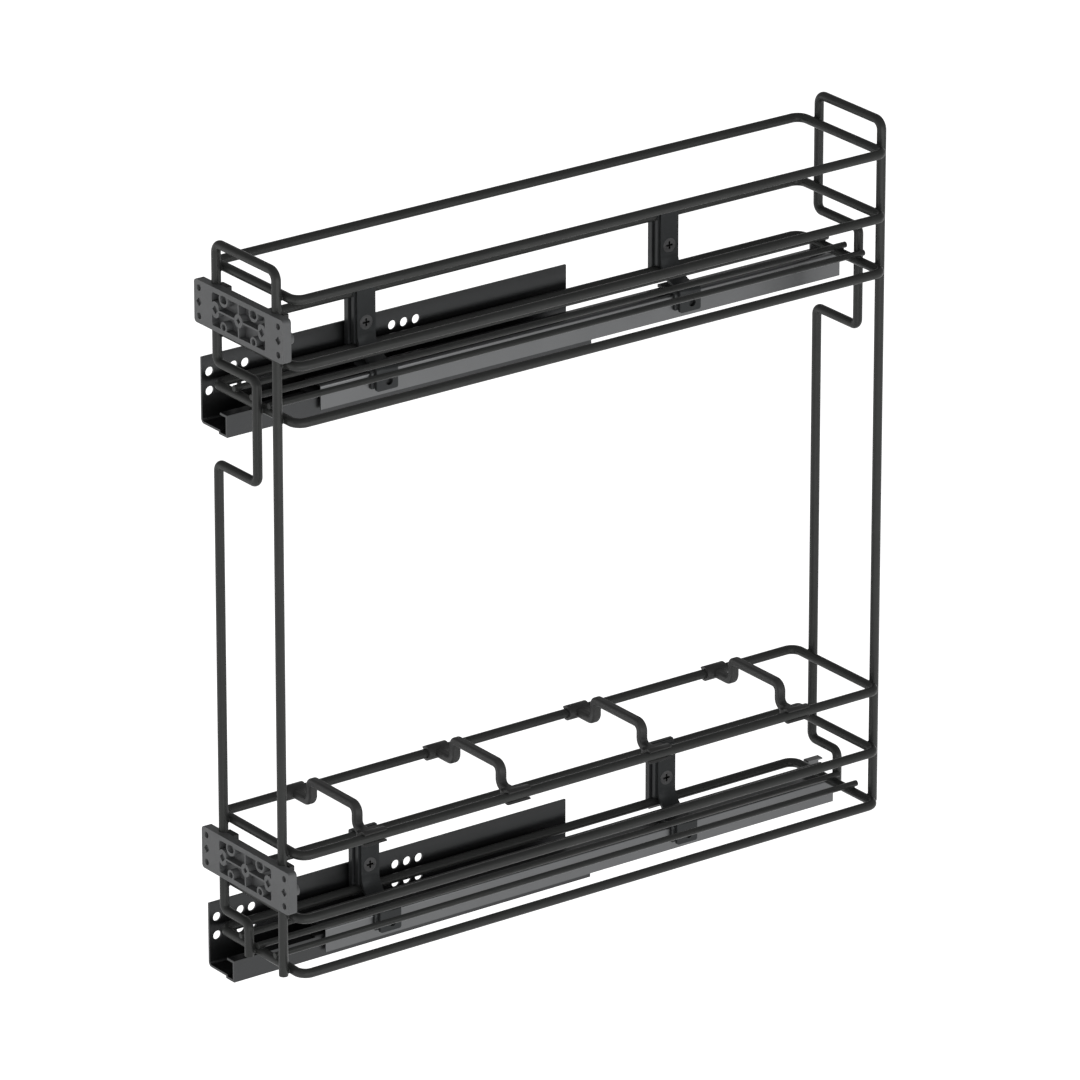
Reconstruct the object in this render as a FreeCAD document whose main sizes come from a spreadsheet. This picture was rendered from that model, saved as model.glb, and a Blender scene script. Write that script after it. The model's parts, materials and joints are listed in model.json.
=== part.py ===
import FreeCAD, Part
import math
import os
import Sketcher
from types import SimpleNamespace

# Pull-out bottle rack for a narrow base cabinet, in millimetres.
# X runs from the cabinet side wall into the cabinet, Y from the door to the back, Z up.
# The origin lies on the cabinet wall, at the centre of the lower slide's four main screw holes.

# Driving dimensions
sizes = [
    # Wire rack
    ("wire", 6.0),
    ("floor_wire", 4.0),
    ("weld_gap", 0.05),
    ("wall_gap", 52.0),
    ("frame_depth", 460.0),
    ("leg_spacing", 63.4),
    ("grip_rise", 16.6),
    ("grip_bend", 6.0),
    ("jog_bend", 4.5),
    ("leg_drop", 3.0),
    ("floor_height", 28.5),
    ("level_gap", 362.4),
    ("ring_width", 87.0),
    ("ring_bend", 7.0),
    ("middle_rise", 36.6),
    ("top_rise", 79.0),
    ("upper_jog", 41.7),
    ("lower_jog", 26.5),
    ("jog_rise", 19.0),
    ("jog_drop", 47.0),
    ("floor_pitch", 18.5),
    ("floor_overhang", 3.5),
    # Cabinet profile of a slide
    ("profile_front", 1.2),
    ("profile_length", 275.0),
    ("profile_sheet", 1.5),
    ("profile_height", 44.4),
    ("profile_width", 28.0),
    ("profile_bend", 3.0),
    ("lip_height", 14.4),
    ("lip_width", 7.5),
    ("floor_step", 1.5),
    ("step_width", 9.0),
    ("screw_hole", 6.0),
    ("hole_row", 21.3),
    ("row_gap", 12.5),
    ("front_column", 5.8),
    ("pair_column", 23.6),
    ("pair_pitch", 8.6),
    ("trio_column", 142.0),
    ("trio_pitch", 9.0),
    # Middle member and roller carriages
    ("slide_gap", 0.5),
    ("side_gap", 0.8),
    ("roller_gap", 0.3),
    ("middle_sheet", 1.0),
    ("middle_front", 62.0),
    ("middle_length", 378.0),
    ("needle", 2.4),
    ("needle_length", 7.0),
    ("needle_front", 190.0),
    ("needle_pitch", 20.0),
    ("roller_length", 3.4),
    ("roller_front", 140.0),
    ("roller_pitch", 28.0),
    ("cage_wall", 0.6),
    ("cage_end", 6.0),
    ("cage_height", 3.0),
    ("needle_cage_height", 1.2),
    # Runner under the basket
    ("runner_gap", 2.0),
    ("runner_sheet", 1.0),
    ("runner_front", 68.5),
    ("runner_length", 401.0),
    ("runner_width", 16.7),
    ("runner_drop", 16.0),
    ("runner_bend", 1.5),
    ("catch_width", 6.2),
    ("hook_length", 11.5),
    ("hook_rise", 10.8),
    ("hook_reach", 5.2),
    # Hanger brackets
    ("hanger_front", 115.0),
    ("hanger_pitch", 232.5),
    ("hanger_width", 13.4),
    ("hanger_sheet", 2.2),
    ("hanger_sweep", 16.0),
    ("hanger_crown", 1.6),
    ("tab_width", 16.0),
    ("tab_bend", 3.5),
    ("tab_drop", 13.9),
    ("tab_gap", 0.6),
    ("tab_corner", 1.4),
    ("tab_hole", 5.0),
    ("tab_hole_drop", 8.7),
    ("tab_hole_shift", 1.5),
    ("saddle_sheet", 2.0),
    ("saddle_width", 17.0),
    ("saddle_drop", 10.4),
    ("saddle_shift", 1.4),
    ("seat_gap", 0.1),
    ("block_width", 16.4),
    ("clamp_width", 19.2),
    ("clamp_depth", 4.2),
    ("clamp_wall", 0.6),
    ("clamp_crown", 1.0),
    ("clamp_corner", 2.4),
    ("clamp_gap", 1.0),
    ("clamp_foot", 4.5),
    ("clamp_screw", 5.0),
    ("clamp_screw_head", 9.6),
    ("clamp_screw_length", 9.0),
    ("clamp_screw_rise", 17.0),
    ("recess_span", 5.0),
    ("recess_slot", 1.2),
    ("recess_depth", 1.6),
    # Door plates
    ("plate_width", 94.0),
    ("plate_height", 28.0),
    ("plate_depth", 6.0),
    ("plate_corner", 2.4),
    ("lower_plate_rise", 58.0),
    ("upper_plate_rise", 56.0),
    ("pocket_width", 56.0),
    ("pocket_height", 21.4),
    ("pocket_depth", 5.0),
    ("pocket_corner", 1.6),
    ("rib", 1.2),
    ("end_hole", 4.2),
    ("end_hole_x", 41.8),
    ("end_hole_pitch", 9.1),
    ("diamond", 5.8),
    ("diamond_depth", 1.5),
    ("end_boss", 7.4),
    ("end_boss_rise", 3.2),
    ("side_boss_x", 24.6),
    ("side_boss_width", 7.6),
    ("side_boss_height", 10.4),
    ("side_boss_corner", 3.2),
    ("boss_x", 15.8),
    ("boss_z", 8.8),
    ("round_boss", 6.8),
    ("round_boss_hole", 4.2),
    ("slot_boss", 9.4),
    ("slot_width", 6.8),
    ("slot_height", 5.0),
    ("slot_corner", 2.2),
    ("slot_depth", 3.0),
    ("hub", 8.6),
    ("hub_hole", 4.0),
    ("door_clamp_inner", 6.55),
    ("door_clamp_depth", 7.0),
    ("door_clamp_bend", 2.5),
    ("door_clamp_height", 24.8),
    # Bottle dividers
    ("divider_first", 60.2),
    ("divider_last", 71.3),
    ("clip_gap", 0.25),
    ("clip_wall", 1.6),
    ("sleeve_length", 15.6),
    ("saddle_clip_length", 16.5),
    ("arm_width", 6.2),
    ("arm_height", 5.6),
    ("arm_edge", 1.8),
    ("arm_rise", 14.3),
    ("arm_bend", 5.2),
    ("crest_bend", 3.2),
    ("dip_bend", 4.8),
    ("dip_x", 20.7),
    ("drop_x", 17.5),
    ("foot_reach", 8.5),
    ("foot_height", 3.0),
    ("foot_corner", 2.5),
]

# Counts, and the half angles at which the divider's clips are open
roller_count = 5
needle_count = 9
divider_count = 4
sleeve_slit = 40
saddle_mouth = 55

doc = FreeCAD.newDocument("BottleRack")
sheet = doc.addObject("Spreadsheet::Sheet", "Sizes")
for row, (alias, number) in enumerate(sizes, start=1):
    cell = "A%d" % row
    sheet.set(cell, str(number))
    sheet.setAlias(cell, alias)
doc.recompute()


class Size:
    """A length that carries both its number and the sheet formula behind it."""

    def __init__(self, value, formula):
        self.value = value
        self.formula = formula

    def joined(self, sign, other, value):
        return Size(value, "(%s %s %s)" % (self.formula, sign, as_size(other).formula))

    def __add__(self, other):
        return self.joined("+", other, self.value + as_size(other).value)

    def __sub__(self, other):
        return self.joined("-", other, self.value - as_size(other).value)

    def __mul__(self, factor):
        return self.joined("*", factor, self.value * factor)

    def __truediv__(self, factor):
        return self.joined("/", factor, self.value / factor)

    def __neg__(self):
        return self * -1


def as_size(number):
    """A plain number as a Size; a Size is passed on."""
    if isinstance(number, Size):
        return number
    return Size(float(number), "(%r)" % float(number))


s = SimpleNamespace(**{alias: Size(sheet.get(alias), "Sizes.%s" % alias) for alias, _ in sizes})
zero = as_size(0)

# Positions that several pieces share, in the rack's own frame:
# X from the rack's middle plane, Y from the front legs, Z from the underside of the level's slide
leg_x = s.leg_spacing / 2
rail_x = s.ring_width / 2
ring_front = s.wire + s.weld_gap
ring_rear = s.frame_depth - s.wire - s.weld_gap
upper_floor = s.floor_height + s.level_gap
wall_x = -s.wall_gap
near_x = wall_x + s.profile_width
lip_end = near_x - s.lip_width
lip_under = s.lip_height - s.profile_sheet
middle_top = s.lip_height + s.slide_gap + s.middle_sheet
middle_bottom = lip_under - s.slide_gap - s.middle_sheet
middle_far = lip_end - s.side_gap - s.middle_sheet
runner_under = middle_top + s.needle + s.roller_gap * 2
runner_top = runner_under + s.runner_sheet
runner_near = near_x + s.runner_gap + s.runner_sheet
runner_far = runner_near - s.runner_width
catch_top = middle_bottom - s.slide_gap
catch_end = runner_far + s.catch_width
saddle_top = runner_top + s.seat_gap + s.saddle_sheet
saddle_face = runner_near + s.seat_gap + s.saddle_sheet
plate_under = saddle_top + s.seat_gap
plate_top = plate_under + s.hanger_sheet
strap_far = -rail_x + s.wire / 2 + s.weld_gap
strap_near = strap_far + s.hanger_sheet
tab_in = saddle_face + s.tab_gap
tab_out = tab_in + s.hanger_sheet
block_near = strap_far + s.clamp_wall
clamp_top = s.floor_height + s.middle_rise + s.wire / 2 + s.clamp_crown
screw_z = s.floor_height + s.clamp_screw_rise
trio_middle = s.trio_column + s.trio_pitch

# The origin's place in that frame
datum = (wall_x, s.profile_front + (s.pair_column + trio_middle) / 2, s.hole_row + s.row_gap / 2)
levels = (("lower", zero), ("upper", s.level_gap))


# Sketch and feature helpers

def place(item, x=zero, y=zero, z=zero):
    """Bind the position of a piece, given in the rack's own frame."""
    for axis, value, start in zip("xyz", (x, y, z), datum):
        item.setExpression("Placement.Base.%s" % axis, (value - start).formula)


def piece(label, x=zero, y=zero, z=zero):
    """A new body for one piece of the rack."""
    body = doc.addObject("PartDesign::Body", label)
    body.Label = label
    place(body, x, y, z)
    return body


def new_sketch(body, plane, offset=zero, shift=zero):
    """A sketch on one of the body's own planes, moved along its normal and along its own Y."""
    sketch = body.newObject("Sketcher::SketchObject", body.Name + "_sketch")
    role = plane + "_Plane"
    sketch.AttachmentSupport = [(item, "") for item in body.Origin.OriginFeatures if item.Role == role]
    sketch.MapMode = "FlatFace"
    sketch.setExpression("AttachmentOffset.Base.z", offset.formula)
    sketch.setExpression("AttachmentOffset.Base.y", shift.formula)
    return sketch


def vector(point):
    return FreeCAD.Vector(point[0].value, point[1].value, 0)


def bind(sketch, kind, *args):
    """Add a dimension whose last argument is a Size."""
    size = args[-1]
    index = sketch.addConstraint(Sketcher.Constraint(kind, *args[:-1], size.value))
    sketch.setExpression("Constraints[%d]" % index, size.formula)


def pin(sketch, geometry, end, point):
    """Hold one end of a line, or a centre, at a point."""
    bind(sketch, "DistanceX", -1, 1, geometry, end, point[0])
    bind(sketch, "DistanceY", -1, 1, geometry, end, point[1])


def join(sketch, first, first_end, second, second_end):
    sketch.addConstraint(Sketcher.Constraint("Coincident", first, first_end, second, second_end))


def stepped(corner, other, radius):
    """The point one radius from a corner toward its neighbour, along the axis that they share."""
    across = other[0].value - corner[0].value
    along = other[1].value - corner[1].value
    if abs(across) > abs(along):
        return (corner[0] + radius * math.copysign(1, across), corner[1])
    return (corner[0], corner[1] + radius * math.copysign(1, along))


def add_arc(sketch, centre, radius, start, end):
    """A counter-clockwise arc between two points; returns its index."""
    middle = vector(centre)
    angles = [math.atan2((vector(p) - middle).y, (vector(p) - middle).x) for p in (start, end)]
    circle = Part.Circle(middle, FreeCAD.Vector(0, 0, 1), radius.value)
    arc = sketch.addGeometry(Part.ArcOfCircle(circle, *angles), False)
    return arc


def trace(sketch, corners, closed=True):
    """Draw straight runs through corners (x, y) or (x, y, radius); a round corner is square on."""
    count = len(corners)
    last = count if closed else count - 1
    entry = []
    leave = []
    for i, corner in enumerate(corners):
        rounded = len(corner) == 3
        entry.append(stepped(corner, corners[i - 1], corner[2]) if rounded else corner)
        leave.append(stepped(corner, corners[(i + 1) % count], corner[2]) if rounded else corner)
    lines = []
    for i in range(last):
        start = vector(leave[i])
        end = vector(entry[(i + 1) % count])
        lines.append(sketch.addGeometry(Part.LineSegment(start, end), False))
    for i in range(last):
        pin(sketch, lines[i], 2, entry[(i + 1) % count])
        first_of_open = i == 0 and not closed
        if len(corners[i]) == 3 or first_of_open:
            pin(sketch, lines[i], 1, leave[i])
        else:
            join(sketch, lines[i], 1, lines[i - 1], 2)
    for i, corner in enumerate(corners):
        if len(corner) < 3:
            continue
        before, after = entry[i], leave[i]
        centre = (before[0] + after[0] - corner[0], before[1] + after[1] - corner[1])
        inward = vector(corner) - vector(before)
        outward = vector(after) - vector(corner)
        left_turn = inward.cross(outward).z > 0
        ends = (before, after) if left_turn else (after, before)
        arc = add_arc(sketch, centre, corner[2], *ends)
        join(sketch, arc, 1 if left_turn else 2, lines[i - 1], 2)
        join(sketch, arc, 2 if left_turn else 1, lines[i], 1)
        bind(sketch, "Radius", arc, corner[2])


def add_circle(sketch, x, y, diameter):
    middle = FreeCAD.Vector(x.value, y.value, 0)
    circle = Part.Circle(middle, FreeCAD.Vector(0, 0, 1), diameter.value / 2)
    index = sketch.addGeometry(circle, False)
    pin(sketch, index, 3, (x, y))
    bind(sketch, "Radius", index, diameter / 2)


def add_block(sketch, x, y, width, height):
    trace(sketch, [(x + width / 2, y - height / 2), (x + width / 2, y + height / 2),
                   (x - width / 2, y + height / 2), (x - width / 2, y - height / 2)])


def add_round_block(sketch, x, y, width, height, corner):
    trace(sketch, [(x + width / 2, y - height / 2, corner), (x + width / 2, y + height / 2, corner),
                   (x - width / 2, y + height / 2, corner), (x - width / 2, y - height / 2, corner)])


def add_diamond(sketch, x, y, width, height):
    trace(sketch, [(x + width / 2, y), (x, y + height / 2), (x - width / 2, y), (x, y - height / 2)])


def add_clip(sketch, x, y, inner, outer, facing, opening):
    """A C-shaped clip section that is open toward one angle."""
    turns = [math.radians(facing + opening), math.radians(facing - opening)]
    ends = [[(x + r * math.cos(a), y + r * math.sin(a)) for a in turns] for r in (inner, outer)]
    lines = []
    for first, second in zip(*ends):
        lines.append(sketch.addGeometry(Part.LineSegment(vector(first), vector(second)), False))
        pin(sketch, lines[-1], 1, first)
        pin(sketch, lines[-1], 2, second)
    for line_end, (radius, (start, end)) in enumerate(zip((inner, outer), ends), start=1):
        arc = add_arc(sketch, (x, y), radius, start, end)
        join(sketch, arc, 1, lines[0], line_end)
        join(sketch, arc, 2, lines[1], line_end)
        bind(sketch, "Radius", arc, radius)


def pad(body, sketch, length, symmetric=False, reverse=False):
    feature = body.newObject("PartDesign::Pad", body.Name + "_pad")
    feature.Profile = sketch
    feature.SideType = "Symmetric" if symmetric else "One side"
    feature.Reversed = reverse
    feature.setExpression("Length", length.formula)
    sketch.Visibility = False
    return feature


def pocket(body, sketch, depth=None):
    """Cut a sketch to a depth against its normal, or right through both ways."""
    feature = body.newObject("PartDesign::Pocket", body.Name + "_pocket")
    feature.Profile = sketch
    if depth is None:
        feature.Type = "ThroughAll"
        feature.SideType = "Symmetric"
    else:
        feature.setExpression("Length", depth.formula)
    return feature


def turn(body, sketch, kind):
    """Revolve or groove a sketch about its own horizontal axis."""
    feature = body.newObject("PartDesign::" + kind, body.Name + "_turn")
    feature.Profile = sketch
    feature.ReferenceAxis = (sketch, ["H_Axis"])
    feature.Angle = 360.0
    return feature


def pipe(body, profile, path):
    doc.recompute()
    feature = body.newObject("PartDesign::AdditivePipe", body.Name + "_pipe")
    feature.Profile = profile
    feature.Spine = (path, ["Edge%d" % (i + 1) for i in range(path.GeometryCount)])
    return feature


def round_edges(body, radius, wanted):
    """Fillet the edges of the finished body that a test picks by their middle and direction."""
    doc.recompute()
    base = body.Tip
    names = []
    for i, edge in enumerate(base.Shape.Edges, start=1):
        middle = edge.valueAt((edge.FirstParameter + edge.LastParameter) / 2)
        along = edge.Vertexes[-1].Point - edge.Vertexes[0].Point
        if wanted(middle, along):
            names.append("Edge%d" % i)
    feature = body.newObject("PartDesign::Fillet", body.Name + "_fillet")
    feature.Base = (base, names)
    feature.setExpression("Radius", radius.formula)
    return feature


def rod(label, radius, length, x, y, z, direction):
    """A straight round rod from a point along X or Y."""
    cylinder = doc.addObject("Part::Cylinder", label)
    axis = FreeCAD.Vector(1, 0, 0) if direction == "X" else FreeCAD.Vector(0, 1, 0)
    cylinder.Placement.Rotation = FreeCAD.Rotation(FreeCAD.Vector(0, 0, 1), axis)
    cylinder.setExpression("Radius", radius.formula)
    cylinder.setExpression("Height", length.formula)
    place(cylinder, x, y, z)
    return cylinder


nodes = []


def finish(item):
    nodes.append(item)


def group(label, items):
    """Identical loose pieces kept as separate solids of one node."""
    compound = doc.addObject("Part::Compound", label)
    compound.Label = label
    compound.Links = items
    finish(compound)


# Wire rack

def make_frame(label, y):
    """An inverted U of wire whose far leg steps sideways round both slides."""
    body = piece(label, y=y)
    foot = s.floor_height - s.leg_drop
    top = upper_floor + s.top_rise + s.grip_rise
    grip = s.grip_bend
    bend = s.jog_bend
    upper_x = s.upper_jog - leg_x
    lower_x = s.lower_jog - leg_x
    upper_jog_z = upper_floor + s.jog_rise
    return_z = upper_floor - s.jog_drop
    lower_jog_z = s.floor_height + s.jog_rise
    path = new_sketch(body, "XZ")
    trace(path, [(leg_x, foot), (leg_x, top, grip), (-leg_x, top, grip), (-leg_x, upper_jog_z, bend),
                 (upper_x, upper_jog_z, bend), (upper_x, return_z, bend), (-leg_x, return_z, bend),
                 (-leg_x, lower_jog_z, bend), (lower_x, lower_jog_z, bend), (lower_x, foot)], closed=False)
    profile = new_sketch(body, "XY", foot)
    add_circle(profile, leg_x, zero, s.wire)
    pipe(body, profile, path)
    finish(body)


def make_ring(label, z):
    """One closed hoop of wire with round corners."""
    body = piece(label, z=z)
    bend = s.ring_bend
    path = new_sketch(body, "XY")
    trace(path, [(zero, ring_front), (rail_x, ring_front, bend), (rail_x, ring_rear, bend),
                 (-rail_x, ring_rear, bend), (-rail_x, ring_front, bend)])
    profile = new_sketch(body, "YZ")
    add_circle(profile, ring_front, zero, s.wire)
    pipe(body, profile, path)
    finish(body)


def make_floor_wires(level, base):
    """Three thin wires that lie on the short sides of the floor hoop."""
    z = base + s.floor_height + (s.wire + s.floor_wire) / 2 + s.weld_gap
    length = ring_rear - ring_front + s.floor_overhang * 2
    wires = []
    for side in (-1, 0, 1):
        wires.append(rod("%s_floor_wire" % level, s.floor_wire / 2, length, s.floor_pitch * side,
                         ring_front - s.floor_overhang, z, "Y"))
    group("%s_floor_wires" % level, wires)


# Slides

def make_profile(level, base):
    """Folded cabinet profile: tall wall with screw holes, stepped floor, near wall with a lip."""
    body = piece("%s_cabinet_profile" % level, y=s.profile_front, z=base)
    t = s.profile_sheet
    step_x = near_x - s.step_width
    inner = s.profile_bend - t
    section = new_sketch(body, "XZ")
    trace(section, [(wall_x, s.profile_height), (wall_x, s.floor_step, s.profile_bend),
                    (step_x, s.floor_step), (step_x, zero), (near_x, zero), (near_x, s.lip_height),
                    (lip_end, s.lip_height), (lip_end, lip_under), (near_x - t, lip_under), (near_x - t, t),
                    (step_x + t, t), (step_x + t, s.floor_step + t),
                    (wall_x + t, s.floor_step + t, inner), (wall_x + t, s.profile_height)])
    pad(body, section, s.profile_length, reverse=True)
    holes = new_sketch(body, "YZ")
    columns = [s.front_column, s.pair_column, s.pair_column + s.pair_pitch]
    columns += [s.trio_column + s.trio_pitch * i for i in range(3)]
    for column in columns:
        for row in (s.hole_row, s.hole_row + s.row_gap):
            add_circle(holes, column, row, s.screw_hole)
    pocket(body, holes)
    finish(body)


def make_middle_member(level, base):
    """C-shaped middle member that hugs the profile's lip."""
    body = piece("%s_middle_member" % level, y=s.middle_front, z=base)
    t = s.middle_sheet
    top_end = near_x + s.side_gap
    low_end = near_x - s.profile_sheet - s.side_gap
    section = new_sketch(body, "XZ")
    trace(section, [(middle_far, middle_bottom), (low_end, middle_bottom), (low_end, middle_bottom + t),
                    (middle_far + t, middle_bottom + t), (middle_far + t, middle_top - t),
                    (top_end, middle_top - t), (top_end, middle_top), (middle_far, middle_top)])
    pad(body, section, s.middle_length, reverse=True)
    finish(body)


def make_carriage(level, base, name, low, high, left, length, first, pitch, count, cage_height):
    """A cage of rollers that runs between two members, with one window for each roller."""
    diameter = high - low - s.roller_gap * 2
    axis_z = low + s.roller_gap + diameter / 2
    cage_length = pitch * (count - 1) + diameter + s.cage_end * 2
    start = first - diameter / 2 - s.cage_end
    slack = s.roller_gap
    body = piece("%s_%s_cage" % (level, name), z=base + axis_z)
    outline = new_sketch(body, "XY")
    cage_left = left - slack - s.cage_wall
    cage_right = left + length + slack + s.cage_wall
    add_block(outline, (cage_left + cage_right) / 2, start + cage_length / 2,
              cage_right - cage_left, cage_length)
    pad(body, outline, cage_height, symmetric=True)
    windows = new_sketch(body, "XY")
    rollers = []
    for i in range(count):
        y = first + pitch * i
        add_block(windows, left + length / 2, y, length + slack * 2, diameter + slack * 2)
        rollers.append(rod("%s_%s" % (level, name), diameter / 2, length, left, y, base + axis_z, "X"))
    pocket(body, windows)
    finish(body)
    group("%s_%ss" % (level, name), rollers)


def make_runner(level, base):
    """Hat-shaped runner over the slide, with a catch under the middle member and a rear hook."""
    body = piece("%s_runner" % level, y=s.runner_front, z=base)
    t = s.runner_sheet
    section = new_sketch(body, "XZ")
    trace(section, [(runner_near, runner_top - s.runner_drop), (runner_near, runner_top, s.runner_bend),
                    (runner_far, runner_top, s.runner_bend), (runner_far, catch_top - t),
                    (catch_end, catch_top - t), (catch_end, catch_top), (runner_far + t, catch_top),
                    (runner_far + t, runner_under), (runner_near - t, runner_under),
                    (runner_near - t, runner_top - s.runner_drop)])
    pad(body, section, s.runner_length, reverse=True)
    hook_top = runner_top + s.hook_rise
    root = runner_top - s.runner_bend * 2
    hook = new_sketch(body, "XZ", -(s.runner_length - s.hook_length))
    trace(hook, [(runner_far, root), (runner_far + t, root), (runner_far + t, hook_top - t),
                 (runner_far + s.hook_reach, hook_top - t), (runner_far + s.hook_reach, hook_top),
                 (runner_far, hook_top)])
    pad(body, hook, s.hook_length, reverse=True)
    finish(body)


# Hanger brackets

def make_saddle(label, y, base):
    """Bent plate between a hanger and the runner."""
    body = piece(label, y=y, z=base)
    t = s.saddle_sheet
    inside = saddle_face - t
    foot = runner_top - s.saddle_drop
    section = new_sketch(body, "XZ")
    trace(section, [(runner_far, saddle_top - t), (inside, saddle_top - t), (inside, foot),
                    (saddle_face, foot), (saddle_face, saddle_top, s.tab_bend), (runner_far, saddle_top)])
    pad(body, section, s.saddle_width, symmetric=True)
    finish(body)


def make_hanger(label, y, base):
    """Front half of a wire clamp with a strap that sweeps out over the runner to a tab beside it."""
    body = piece(label, y=y, z=base)
    split = -rail_x + s.clamp_gap / 2
    block_foot = s.floor_height + s.wire / 2 + s.clamp_gap
    block = new_sketch(body, "XZ")
    trace(block, [(split, clamp_top), (block_near, clamp_top, s.clamp_corner), (block_near, block_foot),
                  (split, block_foot)])
    pad(body, block, s.block_width, symmetric=True)
    sweep_end = strap_near + s.hanger_sweep
    strap = new_sketch(body, "XZ")
    trace(strap, [(strap_far, clamp_top), (strap_near, clamp_top, s.hanger_crown),
                  (strap_near, plate_top, s.hanger_sweep), (tab_in, plate_top), (tab_in, plate_under),
                  (strap_far, plate_under, s.hanger_sweep + s.hanger_sheet)])
    pad(body, strap, s.hanger_width, symmetric=True)
    tab_foot = plate_under - s.tab_drop
    tab = new_sketch(body, "XZ")
    trace(tab, [(sweep_end, plate_top), (tab_out, plate_top, s.tab_bend), (tab_out, tab_foot),
                (tab_in, tab_foot), (tab_in, plate_under), (sweep_end, plate_under)])
    pad(body, tab, s.tab_width, symmetric=True)
    groove = new_sketch(body, "XZ")
    add_circle(groove, -rail_x, s.floor_height + s.middle_rise, s.wire + s.weld_gap * 2)
    pocket(body, groove)
    hole = new_sketch(body, "XZ", shift=screw_z)
    trace(hole, countersink(s.weld_gap))
    turn(body, hole, "Groove")
    tab_hole = new_sketch(body, "YZ", tab_out)
    add_circle(tab_hole, s.tab_hole_shift, plate_under - s.tab_hole_drop, s.tab_hole)
    pocket(body, tab_hole, s.hanger_sheet)

    def tab_edge(middle, along):
        at_foot = abs(middle.z - tab_foot.value) < 0.01
        return at_foot and abs(along.x) > abs(along.y)
    round_edges(body, s.tab_corner, tab_edge)
    finish(body)


def countersink(slack):
    """Half section of a countersunk screw on its axis, widened by a slack."""
    shank = s.clamp_screw / 2 + slack
    head = s.clamp_screw_head / 2 + slack
    tip = strap_near - s.clamp_screw_length - slack
    neck = strap_near - (head - shank)
    return [(strap_near, zero), (strap_near, head), (neck, shank), (tip, shank), (tip, zero)]


def make_clamp_back(label, y, base):
    """Rear half of a wire clamp, grooved for the middle and floor rails."""
    body = piece(label, y=y, z=base)
    split = -rail_x - s.clamp_gap / 2
    back = split - s.clamp_depth
    foot = s.floor_height - s.clamp_foot
    section = new_sketch(body, "XZ")
    trace(section, [(back, foot, s.hanger_crown), (split, foot), (split, clamp_top),
                    (back, clamp_top, s.hanger_crown)])
    pad(body, section, s.clamp_width, symmetric=True)
    grooves = new_sketch(body, "XZ")
    for rail_z in (s.floor_height, s.floor_height + s.middle_rise):
        add_circle(grooves, -rail_x, rail_z, s.wire + s.weld_gap * 2)
    pocket(body, grooves)
    hole = new_sketch(body, "XZ", shift=screw_z)
    trace(hole, countersink(s.weld_gap))
    turn(body, hole, "Groove")
    finish(body)


def make_clamp_screw(y, base):
    """Countersunk screw with a cross recess."""
    body = piece("hanger_screw", y=y, z=base)
    section = new_sketch(body, "XZ", shift=screw_z)
    trace(section, countersink(zero))
    turn(body, section, "Revolution")
    cross = new_sketch(body, "YZ", strap_near, shift=screw_z)
    arm = s.recess_span / 2
    half = s.recess_slot / 2
    trace(cross, [(arm, -half), (arm, half), (half, half), (half, arm), (-half, arm), (-half, half),
                  (-arm, half), (-arm, -half), (-half, -half), (-half, -arm), (half, -arm), (half, -half)])
    pocket(body, cross, s.recess_depth)
    return body


# Door plates

def make_door_plate(label, z):
    """Ribbed plate that the door is screwed to, grooved behind for the two legs."""
    body = piece(label, z=z)
    face = new_sketch(body, "XZ")
    add_round_block(face, zero, zero, s.plate_width, s.plate_height, s.plate_corner)
    pad(body, face, s.plate_depth)
    recess = new_sketch(body, "XZ", s.plate_depth)
    add_round_block(recess, zero, zero, s.pocket_width, s.pocket_height, s.pocket_corner)
    pocket(body, recess, s.pocket_depth)
    floor = s.plate_depth - s.pocket_depth
    for rib_width, rib_height in ((s.pocket_width, s.rib), (s.rib, s.pocket_height)):
        rib = new_sketch(body, "XZ", floor)
        add_block(rib, zero, zero, rib_width, rib_height)
        pad(body, rib, s.pocket_depth)
    end_bosses = new_sketch(body, "XZ")
    bosses = new_sketch(body, "XZ", floor)
    holes = new_sketch(body, "XZ")
    add_circle(bosses, zero, zero, s.hub)
    add_diamond(holes, zero, zero, s.hub_hole, s.hub_hole)
    for side in (-1, 1):
        add_circle(bosses, s.boss_x * side, s.boss_z, s.slot_boss)
        add_circle(bosses, s.boss_x * side, -s.boss_z, s.round_boss)
        add_circle(holes, s.boss_x * side, -s.boss_z, s.round_boss_hole)
        add_round_block(bosses, s.side_boss_x * side, zero, s.side_boss_width, s.side_boss_height,
                        s.side_boss_corner)
        for step in (-1, 1):
            add_circle(holes, s.end_hole_x * side, s.end_hole_pitch * step, s.end_hole)
        add_circle(end_bosses, s.end_hole_x * side, zero, s.end_boss)
    pad(body, end_bosses, s.end_boss_rise, reverse=True)
    pad(body, bosses, s.pocket_depth)
    pocket(body, holes)
    slots = new_sketch(body, "XZ", s.plate_depth)
    marks = new_sketch(body, "XZ", s.plate_depth)
    for side in (-1, 1):
        add_round_block(slots, s.boss_x * side, s.boss_z, s.slot_width, s.slot_height, s.slot_corner)
        for x in (s.side_boss_x, s.end_hole_x):
            add_diamond(marks, x * side, zero, s.diamond, s.diamond)
    pocket(body, slots, s.slot_depth)
    pocket(body, marks, s.diamond_depth)
    grooves = new_sketch(body, "XY")
    for side in (-1, 1):
        add_circle(grooves, leg_x * side, zero, s.wire + s.weld_gap * 2)
    pocket(body, grooves)
    finish(body)


def make_door_clamp(label, side, z):
    """Hook that holds one leg in its groove behind a door plate."""
    body = piece(label, z=z)
    reach = s.wire / 2 + s.weld_gap
    inner = (leg_x - s.door_clamp_inner) * side
    beside = (leg_x - reach) * side
    outer = (leg_x + reach) * side
    hook = new_sketch(body, "XY", -s.door_clamp_height / 2)
    trace(hook, [(inner, s.seat_gap), (beside, s.seat_gap), (beside, reach, s.door_clamp_bend),
                 (outer, reach), (outer, s.door_clamp_depth), (inner, s.door_clamp_depth)])
    pad(body, hook, s.door_clamp_height)
    finish(body)


# Bottle dividers

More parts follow.
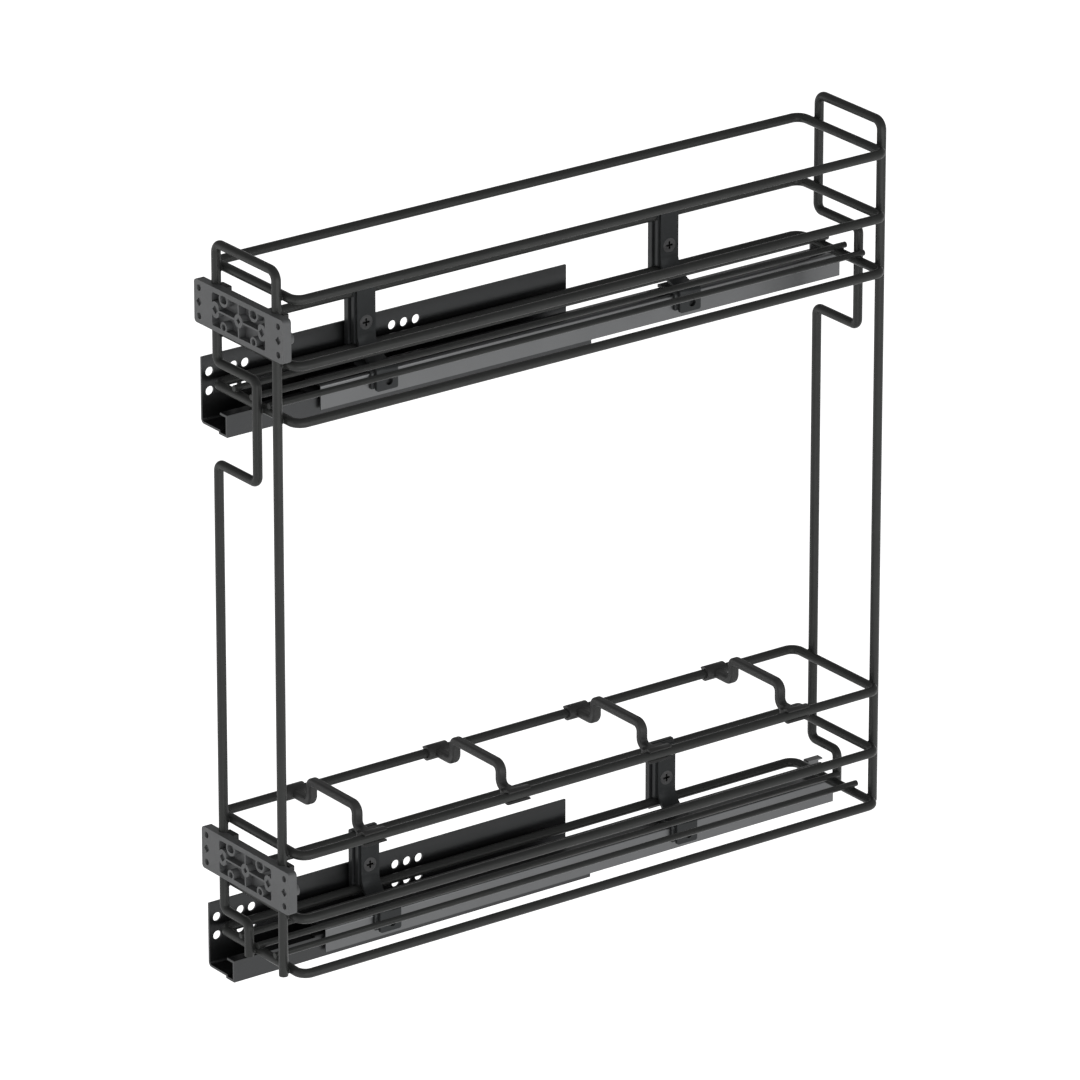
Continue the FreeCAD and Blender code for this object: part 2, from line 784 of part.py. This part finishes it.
def make_divider(label, y):
    """Plastic bar over the lower basket, clipped to both top rails."""
    body = piece(label, y=y, z=s.floor_height + s.top_rise)
    inner = s.wire / 2 + s.clip_gap
    outer = inner + s.clip_wall
    sleeve = new_sketch(body, "XZ")
    add_clip(sleeve, -rail_x, zero, inner, outer, 180, sleeve_slit)
    pad(body, sleeve, s.sleeve_length, symmetric=True)
    saddle = new_sketch(body, "XZ")
    add_clip(saddle, rail_x, zero, inner, outer, 0, saddle_mouth)
    pad(body, saddle, s.saddle_clip_length, symmetric=True)
    start = -rail_x + inner + s.clip_wall / 2
    end = rail_x - inner - s.clip_wall / 2
    dip = -rail_x + s.dip_x
    drop = rail_x - s.drop_x
    path = new_sketch(body, "XZ")
    trace(path, [(start, zero), (dip, zero, s.dip_bend), (dip, s.arm_rise, s.crest_bend),
                 (drop, s.arm_rise, s.arm_bend), (drop, zero, s.arm_bend), (end, zero)], closed=False)
    profile = new_sketch(body, "YZ", start)
    add_round_block(profile, zero, zero, s.arm_width, s.arm_height, s.arm_edge)
    pipe(body, profile, path)
    foot_near = rail_x - inner - s.clip_gap
    foot_far = rail_x - s.foot_reach
    half = s.saddle_clip_length / 2
    foot = new_sketch(body, "XY", s.arm_height / 2 - s.foot_height)
    trace(foot, [(foot_near, -half), (foot_near, half), (foot_far, half, s.foot_corner),
                 (foot_far, -half, s.foot_corner)])
    pad(body, foot, s.foot_height)
    finish(body)


# Assembly

make_frame("front_frame", zero)
make_frame("rear_frame", s.frame_depth)
hanger_screws = []
for level, base in levels:
    floor_z = base + s.floor_height
    make_ring("%s_floor_ring" % level, floor_z)
    make_ring("%s_middle_ring" % level, floor_z + s.middle_rise)
    make_ring("%s_top_ring" % level, floor_z + s.top_rise)
    make_floor_wires(level, base)
    make_profile(level, base)
    make_middle_member(level, base)
    roller_left = (catch_end + near_x - s.profile_sheet - s.roller_length) / 2
    make_carriage(level, base, "roller", s.profile_sheet, middle_bottom, roller_left, s.roller_length,
                  s.roller_front, s.roller_pitch, roller_count, s.cage_height)
    needle_left = (middle_far + near_x - s.needle_length) / 2
    make_carriage(level, base, "needle", middle_top, runner_under, needle_left, s.needle_length,
                  s.needle_front, s.needle_pitch, needle_count, s.needle_cage_height)
    make_runner(level, base)
    for end, y in (("front", s.hanger_front), ("rear", s.hanger_front + s.hanger_pitch)):
        make_saddle("%s_%s_saddle" % (level, end), y - s.saddle_shift, base)
        make_hanger("%s_%s_hanger" % (level, end), y, base)
        make_clamp_back("%s_%s_clamp_back" % (level, end), y, base)
        hanger_screws.append(make_clamp_screw(y, base))
    plate_z = floor_z + (s.upper_plate_rise if level == "upper" else s.lower_plate_rise)
    make_door_plate("%s_door_plate" % level, plate_z)
    for name, side in (("left", -1), ("right", 1)):
        make_door_clamp("%s_%s_door_clamp" % (level, name), side, plate_z)
group("hanger_screws", hanger_screws)
divider_pitch = (s.frame_depth - s.divider_first - s.divider_last) / (divider_count - 1)
for i in range(divider_count):
    make_divider("divider_%d" % (i + 1), s.divider_first + divider_pitch * i)

# Check the document and write one file per piece
doc.recompute()
for item in doc.Objects:
    if "Invalid" in item.State or "Error" in item.State:
        raise RuntimeError("%s did not build: %s" % (item.Label, item.State))
os.makedirs("parts", exist_ok=True)
for node in nodes:
    if node.Shape.isNull() or not node.Shape.isValid() or not node.Shape.Solids:
        raise RuntimeError("%s has no valid solid" % node.Label)
    node.Shape.exportStep("parts/%s.step" % node.Label)
    box = node.Shape.BoundBox
    print("%-26s %3d solids %10.1f mm3  x %.1f..%.1f  y %.1f..%.1f  z %.1f..%.1f" % (
        node.Label, len(node.Shape.Solids), node.Shape.Volume,
        box.XMin, box.XMax, box.YMin, box.YMax, box.ZMin, box.ZMax))
print(len(nodes), "nodes")
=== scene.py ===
import json
import math

import bmesh
import bpy
from mathutils import Matrix, Vector


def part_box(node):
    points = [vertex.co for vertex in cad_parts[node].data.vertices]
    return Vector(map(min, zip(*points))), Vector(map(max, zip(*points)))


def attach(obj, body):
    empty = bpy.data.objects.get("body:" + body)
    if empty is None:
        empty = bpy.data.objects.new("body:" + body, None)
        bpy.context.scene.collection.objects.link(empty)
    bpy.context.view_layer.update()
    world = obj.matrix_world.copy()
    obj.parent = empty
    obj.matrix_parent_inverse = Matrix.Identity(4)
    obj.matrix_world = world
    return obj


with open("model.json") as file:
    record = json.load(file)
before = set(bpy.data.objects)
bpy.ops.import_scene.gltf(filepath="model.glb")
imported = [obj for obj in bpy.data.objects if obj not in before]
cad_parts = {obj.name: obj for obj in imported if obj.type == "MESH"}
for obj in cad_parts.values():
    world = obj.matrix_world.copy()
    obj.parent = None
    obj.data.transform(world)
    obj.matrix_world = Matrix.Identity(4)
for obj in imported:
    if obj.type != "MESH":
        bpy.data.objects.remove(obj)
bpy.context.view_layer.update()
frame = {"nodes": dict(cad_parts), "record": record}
nodes = frame["nodes"]
scene = bpy.context.scene


# Places in metres, read from the frame

CENTRE_RISE = 0.2  # from the lower basket's floor to the point that lamps and camera face


def middle_of(name):
    """The centre of a CAD node's box."""
    low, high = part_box(name)
    return (low + high) / 2


rack_centre = middle_of("lower_floor_ring") + Vector((0, 0, CENTRE_RISE))


# Materials

NOISE_LOW = 0.3  # most of a noise factor lies between these two
NOISE_HIGH = 0.7
COAT_SHEEN = 0.25  # tone of a coat's highlights at a glancing angle


def grey(tone):
    """An opaque colour without hue."""
    return (tone, tone, tone, 1.0)


def new_material(name):
    """An empty node material with its shader; returns the material, its tree and the shader."""
    material = bpy.data.materials.new(name)
    material.use_nodes = True
    tree = material.node_tree
    shader = tree.nodes["Principled BSDF"]
    return material, tree, shader


def add_noise(tree, scale, detail, stretch=(1.0, 1.0, 1.0)):
    """Noise in the object's own metres; returns its factor socket."""
    place = tree.nodes.new("ShaderNodeTexCoord")
    mapping = tree.nodes.new("ShaderNodeMapping")
    mapping.inputs["Scale"].default_value = stretch
    noise = tree.nodes.new("ShaderNodeTexNoise")
    noise.inputs["Scale"].default_value = scale
    noise.inputs["Detail"].default_value = detail
    tree.links.new(place.outputs["Object"], mapping.inputs["Vector"])
    tree.links.new(mapping.outputs["Vector"], noise.inputs["Vector"])
    return noise.outputs["Fac"]


def add_tint(tree, shader, source, dark, light):
    """Colour the surface between two tones, chosen by a noise factor."""
    ramp = tree.nodes.new("ShaderNodeValToRGB")
    ends = ramp.color_ramp.elements
    ends[0].position = NOISE_LOW
    ends[0].color = (*dark, 1.0)
    ends[1].position = NOISE_HIGH
    ends[1].color = (*light, 1.0)
    tree.links.new(source, ramp.inputs["Fac"])
    tree.links.new(ramp.outputs["Color"], shader.inputs["Base Color"])


def vary_colour(tree, shader, source, colour, spread):
    """Let a noise factor move the colour by a share up and down."""
    dark = [channel * (1.0 - spread) for channel in colour]
    light = [channel * (1.0 + spread) for channel in colour]
    add_tint(tree, shader, source, dark, light)


def vary_gloss(tree, shader, source, roughness, spread):
    """Let a noise factor move the roughness up and down."""
    gloss = tree.nodes.new("ShaderNodeMapRange")
    gloss.inputs["From Min"].default_value = NOISE_LOW
    gloss.inputs["From Max"].default_value = NOISE_HIGH
    gloss.inputs["To Min"].default_value = roughness - spread
    gloss.inputs["To Max"].default_value = roughness + spread
    tree.links.new(source, gloss.inputs["Value"])
    tree.links.new(gloss.outputs["Result"], shader.inputs["Roughness"])


def add_bump(tree, shader, source, depth, strength):
    """Raise and lower the surface by a noise factor."""
    bump = tree.nodes.new("ShaderNodeBump")
    bump.inputs["Distance"].default_value = depth
    bump.inputs["Strength"].default_value = strength
    tree.links.new(source, bump.inputs["Height"])
    tree.links.new(bump.outputs["Normal"], shader.inputs["Normal"])


def coated(name, colour, roughness, metallic, specular):
    """Satin powder coat: faint clouds in the colour and a fine orange-peel surface."""
    material, tree, shader = new_material(name)
    clouds = add_noise(tree, scale=60.0, detail=2.0)
    peel = add_noise(tree, scale=5000.0, detail=2.0)
    vary_colour(tree, shader, clouds, colour, spread=0.05)
    vary_gloss(tree, shader, peel, roughness, spread=0.03)
    add_bump(tree, shader, peel, depth=0.000005, strength=0.15)
    shader.inputs["Metallic"].default_value = metallic
    shader.inputs["Specular Tint"].default_value = grey(COAT_SHEEN)
    shader.inputs["Specular IOR Level"].default_value = specular
    return material


def rolled(name, colour, roughness, metallic, specular):
    """Rolled and plated sheet: faint streaks along the slide and a slightly uneven gloss."""
    material, tree, shader = new_material(name)
    streaks = add_noise(tree, scale=1.0, detail=3.0, stretch=(900.0, 14.0, 900.0))
    clouds = add_noise(tree, scale=35.0, detail=3.0)
    vary_colour(tree, shader, clouds, colour, spread=0.03)
    vary_gloss(tree, shader, streaks, roughness, spread=0.01)
    add_bump(tree, shader, streaks, depth=0.000001, strength=0.05)
    shader.inputs["Metallic"].default_value = metallic
    shader.inputs["Specular IOR Level"].default_value = specular
    return material


def moulded(name, colour, roughness, specular):
    """Moulded plastic: spark-eroded grain with a soft uneven gloss."""
    material, tree, shader = new_material(name)
    grain = add_noise(tree, scale=2600.0, detail=3.0)
    clouds = add_noise(tree, scale=90.0, detail=2.0)
    vary_colour(tree, shader, clouds, colour, spread=0.07)
    vary_gloss(tree, shader, grain, roughness, spread=0.06)
    add_bump(tree, shader, grain, depth=0.00004, strength=0.4)
    shader.inputs["Specular IOR Level"].default_value = specular
    return material


def paint_recess_shade(material, reach, power):
    """Painted shade: let the colour fall off where the piece's own walls stand close around a spot, so that
    its recesses look shaded.
    """
    tree = material.node_tree
    base = tree.nodes["Principled BSDF"].inputs["Base Color"]
    shade = tree.nodes.new("ShaderNodeAmbientOcclusion")
    shade.only_local = True
    shade.inputs["Distance"].default_value = reach
    deeper = tree.nodes.new("ShaderNodeMath")
    deeper.operation = "POWER"
    deeper.inputs[1].default_value = power
    tone = tree.nodes.new("ShaderNodeVectorMath")
    tone.operation = "SCALE"
    tree.links.new(shade.outputs["AO"], deeper.inputs[0])
    tree.links.new(base.links[0].from_socket, tone.inputs["Vector"])
    tree.links.new(deeper.outputs["Value"], tone.inputs["Scale"])
    tree.links.new(tone.outputs["Vector"], base)


materials = {
    "wire": coated("wire_coat", (0.042, 0.043, 0.042), roughness=0.32, metallic=0.25, specular=0.20),
    "profile": rolled("profile_sheet", (0.045, 0.046, 0.047), roughness=0.36, metallic=0.85, specular=0.25),
    "runner": rolled("runner_sheet", (0.112, 0.114, 0.116), roughness=0.32, metallic=0.90, specular=0.40),
    "inner_slide": rolled("inner_slide_sheet", (0.012, 0.012, 0.013),
                          roughness=0.45, metallic=0.2, specular=0.25),
    "cage": moulded("cage_plastic", (0.020, 0.020, 0.020), roughness=0.55, specular=0.30),
    "roller": moulded("roller_plastic", (0.52, 0.52, 0.50), roughness=0.40, specular=0.40),
    "needle": rolled("needle_steel", (0.55, 0.55, 0.55), roughness=0.25, metallic=1.0, specular=0.50),
    "hanger": coated("hanger_coat", (0.034, 0.036, 0.037), roughness=0.34, metallic=0.25, specular=0.30),
    "saddle": coated("saddle_coat", (0.050, 0.052, 0.053), roughness=0.36, metallic=0.30, specular=0.30),
    "fastener": rolled("screw_steel", (0.075, 0.075, 0.076), roughness=0.30, metallic=0.6, specular=0.25),
    "door_plate": moulded("plate_plastic", (0.100, 0.102, 0.104), roughness=0.50, specular=0.30),
    "door_clamp": moulded("clamp_plastic", (0.014, 0.014, 0.014), roughness=0.50, specular=0.28),
    "divider": moulded("divider_plastic", (0.033, 0.033, 0.033), roughness=0.48, specular=0.28),
}
# painted shade: the screws' cross recesses are darkened in their colour
paint_recess_shade(materials["fastener"], reach=0.002, power=3.0)


# Dress the CAD nodes

WELD_REACH = 0.000002
FLAT_ANGLE = math.radians(0.2)
SHARP_ANGLE = math.radians(40)
EDGE_SEGMENTS = 2
EDGE_WIDTHS = {
    "wire": 0.0004,
    "profile": 0.00025,
    "runner": 0.0002,
    "inner_slide": 0.0002,
    "hanger": 0.0002,
    "saddle": 0.0003,
    "fastener": 0.0003,
    "door_plate": 0.0003,
    "door_clamp": 0.0005,
    "divider": 0.0003,
}


def soften(node, width):
    """Round the sharp edges of a piece a little, so that they catch light."""
    weld = node.modifiers.new("weld", "WELD")
    weld.merge_threshold = WELD_REACH
    merge = node.modifiers.new("merge_flats", "DECIMATE")
    merge.decimate_type = "DISSOLVE"
    merge.angle_limit = FLAT_ANGLE
    bevel = node.modifiers.new("edges", "BEVEL")
    bevel.width = width
    bevel.segments = EDGE_SEGMENTS
    bevel.limit_method = "ANGLE"
    bevel.angle_limit = SHARP_ANGLE
    bevel.use_clamp_overlap = True
    bevel.harden_normals = True


for part in frame["record"]["subparts"]:
    node = nodes[part["node"]]
    slot = part["material_slot"]
    node.data.materials.clear()
    node.data.materials.append(materials[slot])
    if slot in EDGE_WIDTHS:
        soften(node, EDGE_WIDTHS[slot])


# Weld beads where the wires of the rack meet

FAR_LEG_STEPS = {"lower": 0.0265, "upper": 0.0417}  # how far each far leg steps in at a basket's floor
RING_BEAD = Vector((0.0024, 0.0011, 0.0024))
FLOOR_BEAD = Vector((0.0018, 0.0018, 0.0008))
BEAD_RINGS = 8
BEAD_SEGMENTS = 14
COARSE_WAVES = 3
COARSE_RIPPLE = 0.07
FINE_WAVES = 5
FINE_RIPPLE = 0.04


def bead_places(level):
    """Centre and half sizes of a basket's beads: rings on the frames, then thin wires on the floor ring."""
    front_low, front_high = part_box("front_frame")
    rear_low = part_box("rear_frame")[0]
    ring_low, ring_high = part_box(level + "_floor_ring")
    wires_low, wires_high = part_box(level + "_floor_wires")
    wire_radius = (ring_high.z - ring_low.z) / 2
    thin_radius = (wires_high.z - wires_low.z) / 2
    near_x = front_high.x - wire_radius
    far_x = front_low.x + wire_radius
    stepped_x = far_x + FAR_LEG_STEPS[level]
    for ring, other_x in (("floor", stepped_x), ("middle", far_x), ("top", far_x)):
        ring_z = middle_of("%s_%s_ring" % (level, ring)).z
        for x in (other_x, near_x):
            for y in ((front_high.y + ring_low.y) / 2, (ring_high.y + rear_low.y) / 2):
                yield Vector((x, y, ring_z)), RING_BEAD
    seat_z = (ring_high.z + wires_low.z) / 2
    for x in (wires_low.x + thin_radius, rack_centre.x, wires_high.x - thin_radius):
        for y in (ring_low.y + wire_radius, ring_high.y - wire_radius):
            yield Vector((x, y, seat_z)), FLOOR_BEAD


def add_bead(mesh, centre, half, seed):
    """One squeezed, slightly rippled lens of weld metal."""
    rows = []
    for i in range(1, BEAD_RINGS):
        polar = math.pi * i / BEAD_RINGS
        row = []
        for j in range(BEAD_SEGMENTS):
            turn = 2 * math.pi * j / BEAD_SEGMENTS
            ripple = 1.0 + COARSE_RIPPLE * math.sin(COARSE_WAVES * turn + seed)
            ripple += FINE_RIPPLE * math.sin(FINE_WAVES * turn + 2 * polar + 2 * seed)
            outward = Vector((math.sin(polar) * math.cos(turn),
                              math.cos(polar),
                              math.sin(polar) * math.sin(turn)))
            row.append(mesh.verts.new(centre + outward * half * ripple))
        rows.append(row)
    tips = [mesh.verts.new(centre + Vector((0, side * half.y, 0))) for side in (1, -1)]
    for j in range(BEAD_SEGMENTS):
        k = (j + 1) % BEAD_SEGMENTS
        mesh.faces.new((tips[0], rows[0][j], rows[0][k]))
        mesh.faces.new((tips[1], rows[-1][k], rows[-1][j]))
        for upper, lower in zip(rows, rows[1:]):
            mesh.faces.new((upper[j], lower[j], lower[k], upper[k]))


def make_beads():
    """All beads as one piece that moves with the rack."""
    mesh = bmesh.new()
    places = [place for level in ("lower", "upper") for place in bead_places(level)]
    for seed, (centre, half) in enumerate(places):
        add_bead(mesh, centre, half, seed)
    bmesh.ops.recalc_face_normals(mesh, faces=mesh.faces)
    data = bpy.data.meshes.new("weld_beads")
    mesh.to_mesh(data)
    mesh.free()
    data.shade_smooth()
    data.materials.append(materials["wire"])
    beads = bpy.data.objects.new("weld_beads", data)
    scene.collection.objects.link(beads)
    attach(beads, "basket")


make_beads()


# Floor

FLOOR_HALF = 12.0
FLOOR_Z = -0.60
FLOOR_DARK = (0.88, 0.88, 0.88)
FLOOR_LIGHT = (0.90, 0.90, 0.90)
FLOOR_ROUGHNESS = 0.9
FLOOR_GLOW = 0.9


def floor_material():
    """Pale and matt, with a glow that only the camera, reflections and clear pieces see."""
    material, tree, shader = new_material("floor_white")
    speckle = add_noise(tree, scale=3.0, detail=2.0)
    add_tint(tree, shader, speckle, FLOOR_DARK, FLOOR_LIGHT)
    shader.inputs["Roughness"].default_value = FLOOR_ROUGHNESS
    shader.inputs["Emission Color"].default_value = grey(1.0)
    rays = tree.nodes.new("ShaderNodeLightPath")
    seen = rays.outputs["Is Camera Ray"]
    for kind in ("Is Glossy Ray", "Is Transmission Ray"):
        either = tree.nodes.new("ShaderNodeMath")
        either.operation = "MAXIMUM"
        tree.links.new(seen, either.inputs[0])
        tree.links.new(rays.outputs[kind], either.inputs[1])
        seen = either.outputs["Value"]
    glow = tree.nodes.new("ShaderNodeMath")
    glow.operation = "MULTIPLY"
    glow.inputs[1].default_value = FLOOR_GLOW
    tree.links.new(seen, glow.inputs[0])
    tree.links.new(glow.outputs["Value"], shader.inputs["Emission Strength"])
    return material


def make_floor():
    """A plain floor well below the hung rack."""
    corners = [(x * FLOOR_HALF, y * FLOOR_HALF, FLOOR_Z) for x, y in ((-1, -1), (1, -1), (1, 1), (-1, 1))]
    data = bpy.data.meshes.new("floor")
    data.from_pydata(corners, [], [(0, 1, 2, 3)])
    data.materials.append(floor_material())
    floor = bpy.data.objects.new("floor", data)
    scene.collection.objects.link(floor)


# Light

SKY_LEVEL_TONE = 0.56
SKY_UPPER_TONE = 0.28
SKY_UPPER_HEIGHT = 0.60
LAMP_DISTANCE = 2.2
LAMP_WIDTH = 3.2
LAMP_HEIGHT = 1.5


def make_world():
    """A dim room: pale at the height of the rack and darker above it."""
    world = bpy.data.worlds.new("studio")
    scene.world = world
    world.use_nodes = True
    tree = world.node_tree
    sky = tree.nodes["Background"]
    place = tree.nodes.new("ShaderNodeTexCoord")
    axes = tree.nodes.new("ShaderNodeSeparateXYZ")
    ramp = tree.nodes.new("ShaderNodeValToRGB")
    ends = ramp.color_ramp.elements
    ends[0].position = 0.0
    ends[0].color = grey(SKY_LEVEL_TONE)
    ends[1].position = SKY_UPPER_HEIGHT
    ends[1].color = grey(SKY_UPPER_TONE)
    tree.links.new(place.outputs["Generated"], axes.inputs["Vector"])
    tree.links.new(axes.outputs["Z"], ramp.inputs["Fac"])
    tree.links.new(ramp.outputs["Color"], sky.inputs["Color"])
    sky.inputs["Strength"].default_value = 1.0


def make_lamp(name, towards, power):
    """A wide, low softbox that shines on the rack from a direction."""
    lamp = bpy.data.lights.new(name, "AREA")
    lamp.shape = "RECTANGLE"
    lamp.size = LAMP_WIDTH
    lamp.size_y = LAMP_HEIGHT
    lamp.energy = power
    lamp_object = bpy.data.objects.new(name, lamp)
    scene.collection.objects.link(lamp_object)
    direction = Vector(towards).normalized()
    lamp_object.location = rack_centre + direction * LAMP_DISTANCE
    lamp_object.rotation_euler = direction.to_track_quat("Z", "Y").to_euler()


# Camera at the photo's angle, with a long lens far away

AZIMUTH = math.radians(53.70)
ELEVATION = math.radians(21.82)
CAMERA_DISTANCE = 5.952
AIM_RIGHT = -0.00895
AIM_UP = 0.01942
FOCAL_PIXELS = 9557.2
IMAGE_PIXELS = 1080.0
SENSOR_WIDTH = 36.0
VIEW_DEPTH = 100.0


def make_camera():
    """Look at the rack's centre, a little aside as the photo's framing is."""
    right = Vector((math.cos(AZIMUTH), math.sin(AZIMUTH), 0))
    back = Vector((math.sin(AZIMUTH) * math.cos(ELEVATION),
                   -math.cos(AZIMUTH) * math.cos(ELEVATION),
                   math.sin(ELEVATION)))
    up = back.cross(right)
    aim = rack_centre + right * AIM_RIGHT + up * AIM_UP
    camera = bpy.data.cameras.new("camera")
    camera.sensor_width = SENSOR_WIDTH
    camera.sensor_fit = "HORIZONTAL"
    camera.lens = SENSOR_WIDTH * FOCAL_PIXELS / IMAGE_PIXELS
    camera.clip_end = VIEW_DEPTH
    camera_object = bpy.data.objects.new("camera", camera)
    scene.collection.objects.link(camera_object)
    turn = Matrix((right, up, back)).transposed().to_4x4()
    camera_object.matrix_world = Matrix.Translation(aim + back * CAMERA_DISTANCE) @ turn
    scene.camera = camera_object


make_floor()
make_world()
make_lamp("front_lamp", towards=(-0.35, -1.0, 0.03), power=11.0)
make_lamp("side_lamp", towards=(1.0, -0.15, 0.03), power=30.0)
make_camera()
scene.view_settings.view_transform = "Standard"
